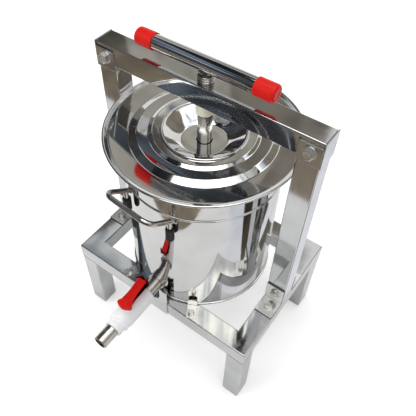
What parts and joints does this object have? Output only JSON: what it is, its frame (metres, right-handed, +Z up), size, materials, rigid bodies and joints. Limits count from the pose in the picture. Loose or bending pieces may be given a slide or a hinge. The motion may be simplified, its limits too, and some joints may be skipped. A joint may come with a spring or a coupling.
{
  "type": "honey press",
  "caption": "Lidded steel barrel with a strainer basket in a square-tube frame; a hand screw drives a press plate down and a ball valve lets the honey out.",
  "frame": {"origin": "on the floor, straight below the spindle's axis", "axes": "+Z up along the spindle, +X along the beam, the outlet points along -Y"},
  "size_m": [0.422, 0.4845, 0.6746],
  "materials": {
    "polished_tube": "mirror-polished stainless tube",
    "polished_sheet": "mirror-polished stainless sheet",
    "plain_steel": "turned stainless steel",
    "bolt_steel": "stainless fasteners",
    "bronze": "turned bronze",
    "nylon": "cream nylon",
    "red_plastic": "moulded red plastic",
    "white_pvc": "moulded white PVC",
    "seat_plastic": "white PTFE",
    "black_rubber": "ribbed black rubber"
  },
  "bodies": {
    "frame": {"base_rail_front": "polished_tube", "base_rail_rear": "polished_tube", "base_rail_left": "polished_tube", "base_rail_right": "polished_tube", "leg_front_left": "polished_tube", "leg_front_right": "polished_tube", "leg_rear_left": "polished_tube", "leg_rear_right": "polished_tube", "upright_left": "polished_tube", "upright_right": "polished_tube", "beam": "polished_tube", "beam_socket_left": "polished_tube", "beam_socket_right": "polished_tube", "socket_bolts": "bolt_steel", "socket_nuts": "bolt_steel", "foot_brackets": "polished_sheet", "foot_bolts": "bolt_steel", "foot_nuts": "bolt_steel", "barrel_clips": "polished_sheet", "clip_bolts": "bolt_steel", "saddle_plate": "polished_sheet", "spindle_nut": "plain_steel", "guide_bush": "nylon", "guide_tube": "polished_tube", "barrel": "polished_sheet", "strainer_basket": "plain_steel", "grip_front": "polished_tube", "grip_rear": "polished_tube", "grip_sleeves": "black_rubber", "outlet_pipe": "plain_steel", "pipe_coupling": "plain_steel", "pipe_nut": "plain_steel", "valve_body": "white_pvc", "valve_seats": "seat_plastic", "outlet_tube": "plain_steel"},
    "press_head": {"press_plate": "plain_steel", "swivel_cup": "plain_steel", "thrust_disc": "bronze", "swivel_ring": "plain_steel", "swivel_screws": "bolt_steel"},
    "spindle": {"spindle": "plain_steel", "handle_bar": "polished_tube", "handle_cap_left": "red_plastic", "handle_cap_right": "red_plastic"},
    "lid": {"lid": "polished_sheet"},
    "valve_lever": {"valve_ball": "plain_steel", "valve_stem": "bronze", "valve_lever": "red_plastic", "lever_screw": "bolt_steel"}
  },
  "joints": [
    {"name": "press_travel", "type": "slide", "parent": "frame", "child": "press_head", "axis": [0, 0, 1], "range_m": [-0.0005, 0.2005]},
    {"name": "handle_turn", "type": "hinge", "parent": "press_head", "child": "spindle", "pos_m": [0, 0, 0.4], "axis": [0, 0, 1], "range_deg": [0, 14400]},
    {"name": "lid_lift", "type": "slide", "parent": "frame", "child": "lid", "axis": [0, 0, 1], "range_m": [0, 0.045]},
    {"name": "valve_turn", "type": "hinge", "parent": "frame", "child": "valve_lever", "pos_m": [0, -0.22922, 0.254], "axis": [0, 0, 1], "range_deg": [-6.5, 83.5]}
  ],
  "couplings": [
    {"joint": "press_travel", "follows": "handle_turn", "m_per_rad": 0.00079577}
  ]
}
